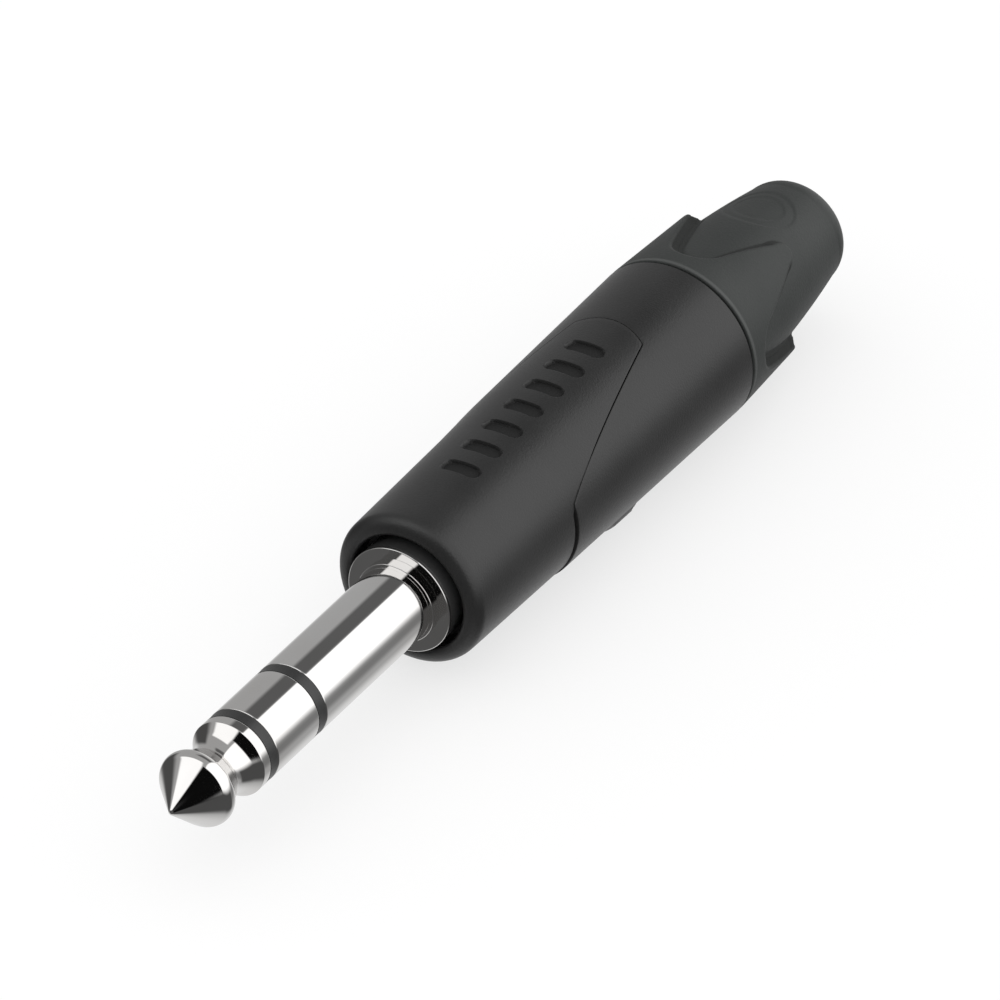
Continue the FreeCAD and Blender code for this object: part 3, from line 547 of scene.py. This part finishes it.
def quarters(eighth):
    """Eight copies of an eighth, mirrored in turn, as one closed curve."""
    quarter = np.concatenate([eighth, eighth[1:-1][::-1] * [1.0, -1.0] + [0.0, np.pi / 2.0]])
    turns = np.arange(4)[:, None, None] * np.array([0.0, np.pi / 2.0])
    return (quarter[None] + turns).reshape(-1, 2)


petal_softness, petal_spacing = 0.5, 0.18
petal_edge = softened(scallop_edge(), unrolled_r, petal_softness)
boot_edge = quarters(evenly(petal_edge, unrolled_r, lambda a: np.full_like(a, petal_spacing)))
boot_x, boot_angle = boot_edge[:, 0], boot_edge[:, 1]
boot_normal = outward(boot_edge, skirt_radius(boot_x))

# %% The skirt: rounded front edge, petals and their rolled edge
roll, front_round = 0.28, 0.25
skirt_start = boot_front + front_round
t = np.linspace(0.0, np.pi / 2.0, 8)[:, None]
front_edge_x = skirt_start - front_round * np.cos(t[:-1])
front_edge_r = skirt_radius(skirt_start) - front_round * (1.0 - np.sin(t[:-1]))
front_edge = polar(front_edge_x, boot_angle, front_edge_r)
roll_x = boot_x - boot_normal[:, 0] * roll * (1.0 - np.sin(t))
roll_angle = boot_angle - boot_normal[:, 1] * roll * (1.0 - np.sin(t)) / skirt_radius(boot_x)
rolled = polar(roll_x, roll_angle, skirt_radius(roll_x) - roll * (1.0 - np.cos(t)))
share = np.linspace(0.0, 1.0, 18)[:-1, None] ** 0.8
skirt_x = skirt_start + (roll_x[0] - skirt_start) * share
skirt = polar(skirt_x, boot_angle + (roll_angle[0] - boot_angle) * share, skirt_radius(skirt_x))

# %% The fillet at the foot of the scallops' walls
fillet, wall_lean = 0.3, 0.32
outside = wall_lean + fillet * (1.0 - np.cos(t))
fillet_x = boot_x + boot_normal[:, 0] * outside
fillet_angle = boot_angle + boot_normal[:, 1] * outside / core_radius(boot_x)
filleted = polar(fillet_x, fillet_angle, core_radius(fillet_x) + fillet * (1.0 - np.sin(t)))

# %% The core with its shallow dish
dish_x, dish_half_length, dish_half_width, dish_edge = 52.77, 2.85, 3.0, 0.06


def dish(x, y):
    """Depth of the shallow oval dish on top, as two steps: 0.06 mm inside the oval, and 0.04 mm more
    inside 0.72 of it. Each step eases in over dish_edge of the oval's size."""
    away = np.hypot((x - dish_x) / dish_half_length, y / dish_half_width)
    return 0.06 * ramp(1.0 - away, dish_edge) + 0.04 * ramp(0.72 - away, dish_edge)


run = np.linspace(0.0, 1.0, 80)[1:, None]
core_x = fillet_x[-1] + (core_end - fillet_x[-1]) * run
core_angle = fillet_angle[-1] + (boot_angle - fillet_angle[-1]) * run
core_r = core_radius(core_x)
on_top = np.cos(core_angle) > 0.5
core = polar(core_x, core_angle, core_r - on_top * dish(core_x, core_r * np.sin(core_angle)))

# %% The round end, the cable's bore and the room for the gland nut
cable_r, barrel_r, barrel_end, nut_room_r, nut_room_end = 3.5, 5.0, 47.7, 6.51, 41.6
end_r = core_radius(core_end) / 2.0
end_stop = math.degrees(math.acos(cable_r / end_r - 1.0))
end_arc = sweep((core_end, end_r), end_r, 0.0, end_stop, 18)[1:]
tail = polar(end_arc[:, :1], boot_angle, end_arc[:, 1:])
inner = np.array([[barrel_end, cable_r], [barrel_end, barrel_r], [nut_room_end, barrel_r],
                  [nut_room_end, nut_room_r], [boot_front, nut_room_r]])
head = polar(inner[:, :1], boot_angle, inner[:, 1:])

# %% [markdown]
# The walls of the petals lie in their own shade, and that shade is painted into the rubber's colour:
# painted shade, with the rubber made duller there as well. So this mesh carries an attribute too, the
# painted wall shade: 0 on the outside, climbing over the rolled edge to 1 on the wall, and fading again
# on the first bit of the core. The finish reads it.

# %% The boot
boot_rows = [head, front_edge, skirt, rolled, filleted, core, tail]
boot = closed_piece("rubber_boot", np.concatenate(boot_rows), "rear_boot", sharp=40.0)
# How much painted shade each row of the boot gets: none on the outside, full on the petals' walls.
wall_shade_shares = [np.zeros(len(head) + len(front_edge) + len(skirt)),
               np.linspace(0.0, 1.0, len(rolled)) ** 1.5, np.linspace(1.0, 0.8, len(filleted)),
               0.8 * np.clip(1.0 - run[:, 0] * 20.0, 0.0, 1.0), np.zeros(len(tail))]
wall_shade_values = np.repeat(np.concatenate(wall_shade_shares), len(boot_angle))
boot.data.attributes.new("painted_wall_shade", "FLOAT", "POINT").data.foreach_set("value", wall_shade_values)
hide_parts("boot")

# %% [markdown]
# Inside the boot sits the gland nut, whose real thread is cut here: a ridge that climbs one
# millimetre for each turn. It can be seen only when the boot is screwed back.

# %% Gland nut with its thread
nut_r, thread_height, thread_start, thread_end = 5.83, 0.5, 32.35, 39.85


def thread_depth(x, angle):
    """0 on the crest to 1 in the root of a right-hand thread: a triangle wave of x / pitch - angle / 2 pi
    with its top and bottom cut flat, faded out over the last half turn at each end."""
    wave = np.abs(((x - angle / (2.0 * np.pi)) % 1.0) - 0.5) * 2.0
    fade = ramp(x - thread_start, 0.5) * ramp(thread_end - x, 0.7)
    return np.clip(wave * 1.5 - 0.25, 0.0, 1.0) * fade


nut_flange = [[40.1, nut_r], [40.1, 6.46], [41.49, 6.46], [41.55, 6.4], [41.55, 4.95]]
nut_barrel = [[47.65, 4.95], [47.65, 3.75], [36.78, 3.75]]
nut_cone = [[36.78, 4.01], [33.48, 4.46], [32.38, 4.88], [32.2, 4.88], [32.2, 5.43]]
nut_inside = np.array(nut_flange + nut_barrel + nut_cone)
angle = np.arange(96)[None, :] * 2.0 * np.pi / 96
thread_x = np.linspace(32.6, 40.05, 80)[:, None]
thread = polar(thread_x, angle, nut_r - thread_height * thread_depth(thread_x, angle))
nut_grid = np.concatenate([polar(nut_inside[:, :1], angle, nut_inside[:, 1:]), thread])
nut = closed_piece("threaded_gland", nut_grid, "rear_boot", sharp=35.0)
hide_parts("gland_nut")

# %% [markdown]
# Materials are node trees, and most of their nodes do plain arithmetic. A small class makes that
# readable: it wraps an output socket, and a sum or product of two such wires adds the Math node that
# works it out. Every other node comes from one method that takes its type, settings and sockets.

# %% Shader arithmetic
class Wire:
    """An output socket that can be added, subtracted, multiplied and divided, most from either side."""

    def __init__(self, tree, socket):
        self.tree = tree
        self.socket = socket

    def calculate(self, operation, *values):
        """The Math node of that name, fed with the values in their order."""
        return grow(self.tree, "ShaderNodeMath", {"operation": operation}, dict(enumerate(values)))

    def __add__(self, other):
        return self.calculate("ADD", self, other)

    def __radd__(self, other):
        return self.calculate("ADD", other, self)

    def __sub__(self, other):
        return self.calculate("SUBTRACT", self, other)

    def __rsub__(self, other):
        return self.calculate("SUBTRACT", other, self)

    def __mul__(self, other):
        return self.calculate("MULTIPLY", self, other)

    def __rmul__(self, other):
        return self.calculate("MULTIPLY", other, self)

    def __truediv__(self, other):
        return self.calculate("DIVIDE", self, other)

    def held(self, low, high):
        """The value limited to a range."""
        return self.calculate("MAXIMUM", self.calculate("MINIMUM", self, high), low)

    def eased(self, low, high):
        """0 below low, 1 above high, smooth between."""
        return grow(self.tree, "ShaderNodeMapRange", {"interpolation_type": "SMOOTHSTEP"},
                    {"Value": self, "From Min": low, "From Max": high})


def grow(tree, kind, settings=None, sockets=None, output=0):
    """Any node: its type, its settings, then the values or wires of its sockets. It gives back the
    chosen output as a wire, or nothing where the node is the end of the tree."""
    node = tree.nodes.new(kind)
    for key, value in (settings or {}).items():
        setattr(node, key, value)
    for key, value in (sockets or {}).items():
        target = node.inputs[key]
        if isinstance(value, Wire):
            tree.links.new(value.socket, target)
        else:
            target.default_value = value
    return Wire(tree, node.outputs[output]) if len(node.outputs) else None


# %% [markdown]
# Each finish starts the same way: a fresh material with one Principled shader and the place on the
# object in metres, from which all grain and marks are worked out.

# %% A blank finish
class Finish:
    """A material with its Principled shader, its place on the object and its noise."""

    def __init__(self, name, **constants):
        self.material = bpy.data.materials.new(name)
        self.material.use_nodes = True
        self.tree = self.material.node_tree
        self.shader = self.tree.nodes["Principled BSDF"]
        for key, value in constants.items():
            self.shader.inputs[key.replace("_", " ")].default_value = value
        self.place = self.node("ShaderNodeTexCoord", output="Object")

    def node(self, kind, settings=None, sockets=None, output=0):
        """Any node, in this finish's tree."""
        return grow(self.tree, kind, settings, sockets, output)

    def noise(self, size_mm, detail, roughness=0.5, stretch=(1.0, 1.0, 1.0)):
        """Noise from 0 to 1 whose blotches are about that many millimetres across. stretch multiplies
        the place first, so that a small number draws the blotches out along that axis."""
        place = self.node("ShaderNodeVectorMath", {"operation": "MULTIPLY"}, {0: self.place, 1: stretch})
        return self.node("ShaderNodeTexNoise", {}, {"Vector": place, "Scale": PER_METRE / size_mm,
                                                    "Detail": detail, "Roughness": roughness})

    def mix(self, share, first, second):
        """One colour turning into another."""
        return self.node("ShaderNodeMix", {"data_type": "RGBA"},
                         {"Factor": share, "A": first, "B": second}, "Result")

    def feed(self, socket, wire):
        """Leads the wire into a socket of the Principled shader."""
        self.tree.links.new(wire.socket, self.shader.inputs[socket])

    def bump(self, height, depth_mm):
        """Relief of that many millimetres."""
        self.feed("Normal", self.node("ShaderNodeBump", {}, {"Height": height, "Distance": depth_mm * MM}))


def colour(value, warm=0.0):
    """A grey with a slight cast: value (1 + warm), value, value (1 - warm)."""
    return (value * (1.0 + warm), value, value * (1.0 - warm), 1.0)


def ramp_band(finish, low, high):
    """1 between two stations along the plug in millimetres, 0 outside, crisp in front, soft behind."""
    crisp, soft = 0.04, 0.1
    x = finish.node("ShaderNodeSeparateXYZ", {}, {0: finish.place}, "X") * PER_METRE
    return x.eased(low - crisp, low + crisp) * (1.0 - x.eased(high - soft, high + soft))


# %% [markdown]
# Polished nickel is almost a mirror. What keeps it from looking like a drawing of one is slight: broad
# clouds of tone and gloss from the plating bath, and the turning marks of the lathe. They go round the
# axis, so their noise is drawn out along Y and Z and stays fine along X.

# %% Plated metal
plating = Finish("polished_plating", Metallic=1.0)
cloud = plating.noise(9.0, 3.0)
plating.feed("Base Color", plating.mix(cloud.eased(0.3, 0.7), colour(0.78, 0.01), colour(0.72, 0.02)))
turning = plating.noise(0.05, 2.0, 0.6, (1.0, 0.02, 0.02))
plating.feed("Roughness", 0.025 + 0.03 * cloud + 0.02 * turning)
plating.bump(turning, 0.0003)

# %% [markdown]
# The housing is black plastic from a finely eroded mould: satin, with a grain too small to count. The
# boot is a greener, duller rubber with a coarser grain. A band at its front edge is painted paler: a
# painted highlight. Both read the attribute that their mesh carries for its hidden places, where shade
# is painted into the colour.

# %% Housing plastic
housing = Finish("housing_plastic", IOR=1.5)
patch = housing.noise(6.0, 3.0)
grain = housing.noise(0.16, 3.0, 0.6)
painted_bar_shade = housing.node("ShaderNodeAttribute", {"attribute_name": "bar_floor"}, output="Fac")
plastic = housing.mix(patch.eased(0.3, 0.7), colour(0.0135), colour(0.0170))
# Painted shade: the base colour of the bars' floors turns near black, as if in shadow.
housing.feed("Base Color", housing.mix(painted_bar_shade.eased(0.2, 0.8), plastic, colour(0.003)))
housing.feed("Roughness", 0.30 + 0.08 * grain + 0.04 * patch + 0.35 * painted_bar_shade)
housing.bump(grain, 0.022)

# %% Boot rubber
rubber = Finish("boot_rubber", IOR=1.5)
patch = rubber.noise(5.0, 3.0)
grain = rubber.noise(0.22, 3.0, 0.6)
wall_shade_share = rubber.node("ShaderNodeAttribute", {"attribute_name": "painted_wall_shade"}, output="Fac")
dark_skin, light_skin = (0.0195, 0.023, 0.0215, 1.0), (0.024, 0.0275, 0.026, 1.0)
painted_highlight_skin, painted_shade_skin = (0.066, 0.070, 0.068, 1.0), (0.008, 0.009, 0.008, 1.0)
highlight_band_front, highlight_band_rear = 40.22, 40.48
skin_tone = rubber.mix(patch.eased(0.3, 0.7), dark_skin, light_skin)
# Painted highlight: a paler band of base colour along the boot's rounded front edge.
skin_tone = rubber.mix(0.8 * ramp_band(rubber, highlight_band_front, highlight_band_rear), skin_tone, painted_highlight_skin)
# Painted shade: the base colour of the petals' walls turns darker, as if in shadow.
rubber.feed("Base Color", rubber.mix(0.85 * wall_shade_share, skin_tone, painted_shade_skin))
rubber.feed("Roughness", 0.5 + 0.1 * grain + 0.35 * wall_shade_share)
rubber.bump(grain, 0.024)

# %% Plain plastics: black nylon, the chuck's pale acetal and the gland
def moulded(name, grain_mm, detail, tones, gloss, depth_mm, **constants):
    """A plastic with one grain: it turns the first tone into the second, makes the roughness
    gloss[0] + gloss[1] grain, and stands out by depth_mm."""
    finish = Finish(name, **constants)
    grain = finish.noise(grain_mm, detail)
    finish.feed("Base Color", finish.mix(grain, *tones))
    finish.feed("Roughness", gloss[0] + gloss[1] * grain)
    finish.bump(grain, depth_mm)
    return finish


nylon = moulded("black_nylon", 0.3, 2.0, (colour(0.02), colour(0.028)), (0.34, 0.1), 0.004, IOR=1.5)
acetal = moulded("chuck_acetal", 0.4, 2.0, (colour(0.5, 0.02), colour(0.58, 0.02)), (0.35, 0.15), 0.006)
gland = moulded("gland_nylon", 0.25, 3.0, (colour(0.03), colour(0.04)), (0.38, 0.12), 0.008)

# %% Tinned lugs and the card liner
tinned = Finish("tinned_brass", Metallic=1.0)
grain = tinned.noise(0.5, 3.0)
tinned.feed("Base Color", tinned.mix(grain.eased(0.3, 0.7), colour(0.62, 0.03), colour(0.5, 0.05)))
tinned.feed("Roughness", 0.25 + 0.2 * grain)
tinned.bump(grain, 0.01)

card = Finish("liner_card")
grain = card.noise(0.2, 3.0, 0.6, (0.2, 1.0, 1.0))
card.feed("Base Color", card.mix(grain, colour(0.03), colour(0.05)))
card.feed("Roughness", 0.6 + 0.2 * grain)
card.bump(grain, 0.02)

# %% Which piece gets which finish
def paint(finish, *objects):
    """Gives every material slot of the objects the finish."""
    for piece in objects:
        piece.data.materials.clear()
        piece.data.materials.append(finish.material)


def paint_nodes(finish, *names):
    """The same for solids that are shown as they are: only their object's slots change."""
    for name in names:
        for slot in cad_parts[name].material_slots:
            slot.link = "OBJECT"
            slot.material = finish.material


paint(plating, tip, ring, sleeve)
paint(housing, nose, body)
paint(rubber, boot)
paint(nylon, tip_ring, sleeve_ring, seat_ring)
paint(gland, nut)
paint_nodes(nylon, "tip_tube", "ring_tube", "terminal_block", "lug_washer")
paint_nodes(tinned, "sleeve_lug", "ring_lug", "tip_lug", "rivet_washer")
paint_nodes(card, "insulating_tube")
paint_nodes(acetal, "chuck")
print("finishes:", sorted(material.name for material in bpy.data.materials if material.use_nodes))

# %% [markdown]
# The plug lies on a plain pale floor under even light. The floor glows a little towards the camera, so
# that it comes out white, and still takes the plug's soft shadow. Even light alone would leave the
# plated finger flat white, because polished metal shows nothing but its surroundings. So a dome stands
# round the set that only reflections can see: a grey room with one large soft box on the right and a
# smaller one at the front, a dark end beyond the tip, and a few darker and paler fields near the
# ground. It casts no light and no shadow. It is what the metal mirrors, and the sheen on the plastic.

# %% The floor
def set_piece(name, points, faces):
    """An object of the set, from points in millimetres."""
    mesh = bpy.data.meshes.new(name)
    mesh.from_pydata((points * MM).tolist(), [], faces.tolist())
    thing = bpy.data.objects.new(name, mesh)
    bpy.context.scene.collection.objects.link(thing)
    return thing


floor_z, floor_half, glow_share = -7.22, 3000.0, 0.7
corners = np.array([[-1.0, -1.0], [1.0, -1.0], [1.0, 1.0], [-1.0, 1.0]]) * floor_half
floor_points = np.concatenate([corners, np.full((4, 1), floor_z)], axis=1)
floor = set_piece("floor", floor_points, np.arange(4)[None, :])
floor.visible_glossy = False
white = (1.0, 1.0, 1.0, 1.0)
ground = Finish("floor_paper", Roughness=1.0, Specular_IOR_Level=0.0, Base_Color=(0.985, 0.985, 0.985, 1.0))
lit_paper = Wire(ground.tree, ground.shader.outputs[0])
glowing = ground.node("ShaderNodeEmission", {}, {"Color": white, "Strength": 1.0})
seen = ground.node("ShaderNodeLightPath", output="Is Camera Ray")
paper = ground.node("ShaderNodeMixShader", {}, {0: glow_share * seen, 1: lit_paper, 2: glowing})
ground.tree.links.new(paper.socket, ground.tree.nodes["Material Output"].inputs["Surface"])
paint(ground, floor)

# %% Even light
world = bpy.data.worlds.new("even_light")
bpy.context.scene.world = world
world.use_nodes = True
background = world.node_tree.nodes["Background"]
background.inputs["Color"].default_value = white
background.inputs["Strength"].default_value = 1.06

# %% What the reflections see
def only_in_reflections(thing):
    """Hides the object from the camera and from all light but mirrored light."""
    thing.visible_camera = False
    thing.visible_diffuse = False
    thing.visible_transmission = False
    thing.visible_volume_scatter = False
    thing.visible_shadow = False


def glow(name, brightness_of):
    """An emission-only material. brightness_of gets the three coordinates in millimetres as wires."""
    material = bpy.data.materials.new(name)
    material.use_nodes = True
    tree = material.node_tree
    tree.nodes.clear()
    place = grow(tree, "ShaderNodeTexCoord", output="Object")
    x, y, z = (grow(tree, "ShaderNodeSeparateXYZ", {}, {0: place}, axis) * PER_METRE for axis in "XYZ")
    lamp = grow(tree, "ShaderNodeEmission", {}, {"Color": white, "Strength": brightness_of(x, y, z)})
    grow(tree, "ShaderNodeOutputMaterial", {}, {"Surface": lamp})
    return material


def panel(angle, low, high, soft):
    """1 between two angles, 0 outside, with edges that many degrees wide."""
    half = soft / 2.0
    return angle.eased(low - half, low + half) * (1.0 - angle.eased(high - half, high + half))


# %% [markdown]
# Each field of the dome is a patch of directions, from one angle to another with soft edges. Where a
# field shows on the metal follows from the mirror rule: a cylinder shows a strip for each turn round
# the axis, and the cone, the ball and the neck show the same fields again, bent along their sections.

# %% Fields of the dome
def room(x, y, z):
    """Brightness by direction. turn is the angle round the plug from straight up towards -Y, and tilt
    the angle from the cable end (0) to the tip end (180), both in degrees. The fields add up on the
    grey room, held between 0 and 1.4. Past about 126 degrees of tilt the dark end takes over."""
    degrees = 180.0 / math.pi
    turn = y.calculate("ARCTAN2", 0.0 - y, z) * degrees
    reach = x.calculate("SQRT", x * x + y * y + z * z)
    tilt = x.calculate("ARCCOSINE", x / reach) * degrees
    big_box = turn.eased(12.5, 17.5) * (1.0 - turn.eased(78.0, 106.0)) * panel(tilt, 15.0, 127.0, 5.0)
    front_box = panel(turn, -57.0, 3.0, 8.0) * panel(tilt, 99.0, 136.0, 6.0)
    rear_glow = 1.0 - tilt.eased(10.0, 36.0)
    dark_strip = panel(turn, -27.0, 15.0, 14.0) * panel(tilt, 38.0, 60.0, 8.0)
    from_low_left = (turn + 158.0) * (1.0 / degrees)
    ground_glow = turn.calculate("COSINE", from_low_left).eased(0.58, 0.98)
    shaded_belt = panel(turn, 104.0, 133.0, 22.0) * (1.0 - tilt.eased(56.0, 66.0))
    low_right = panel(turn, 98.0, 150.0, 16.0) * panel(tilt, 62.0, 132.0, 12.0)
    low_left = panel(turn, -116.0, -72.0, 16.0) * panel(tilt, 64.0, 116.0, 14.0)
    dark_room = tilt.eased(123.5, 128.5)
    black_flag = panel(turn, 0.0, 108.0, 10.0) * panel(tilt, 120.0, 140.0, 6.0)
    grey = 0.42 - 0.30 * dark_strip - 0.20 * shaded_belt - 0.34 * low_right - 0.34 * low_left
    lit = (grey + 0.33 * ground_glow + 1.3 * big_box + 0.9 * front_box + 0.6 * rear_glow).held(0.0, 1.4)
    dark_end = 0.10 - 0.096 * black_flag + 1.2 * front_box
    return lit * (1.0 - dark_room) + dark_room * dark_end


# %% The dome itself
dome_r, dome_rows, dome_columns = 1500.0, 33, 64
u = np.linspace(0.0, np.pi, dome_rows)[:, None]
v = (np.arange(dome_columns) * 2.0 * np.pi / dome_columns)[None, :]
dome_points = polar(-np.cos(u), v, np.sin(u)).reshape(-1, 3) * dome_r
index = np.arange(dome_rows * dome_columns).reshape(dome_rows, dome_columns)
here, beyond = index[:-1], index[1:]
dome_faces = np.stack([here, np.roll(here, -1, 1), np.roll(beyond, -1, 1), beyond], axis=2)
dome = set_piece("reflected_room", dome_points, dome_faces.reshape(-1, 4))
dome.data.materials.append(glow("room_glow", room))
only_in_reflections(dome)

# %% [markdown]
# The picture is taken from far off with a long lens, which keeps the plug's two ends nearly in scale.
# The camera's axes are written as three directions: its view, its right and, square to both, its up.

# %% The camera
position = np.array([-546.82, -376.55, 467.5]) * MM
forward = np.array([0.68337, 0.45825, -0.56834])
right = np.array([0.53374, -0.84473, -0.03933])
forward = forward / np.linalg.norm(forward)
right = right - forward * (right @ forward)
right = right / np.linalg.norm(right)
up = np.cross(right, forward)
lens = bpy.data.cameras.new("camera")
lens.lens, lens.sensor_width, lens.clip_start = 390.25, 36.0, 0.01
camera = bpy.data.objects.new("camera", lens)
placement = np.eye(4)
placement[:3, :3] = np.column_stack([right, up, -forward])
placement[:3, 3] = position
camera.matrix_world = Matrix(placement.tolist())
bpy.context.scene.collection.objects.link(camera)
bpy.context.scene.camera = camera
bpy.context.scene.view_settings.view_transform = "Standard"
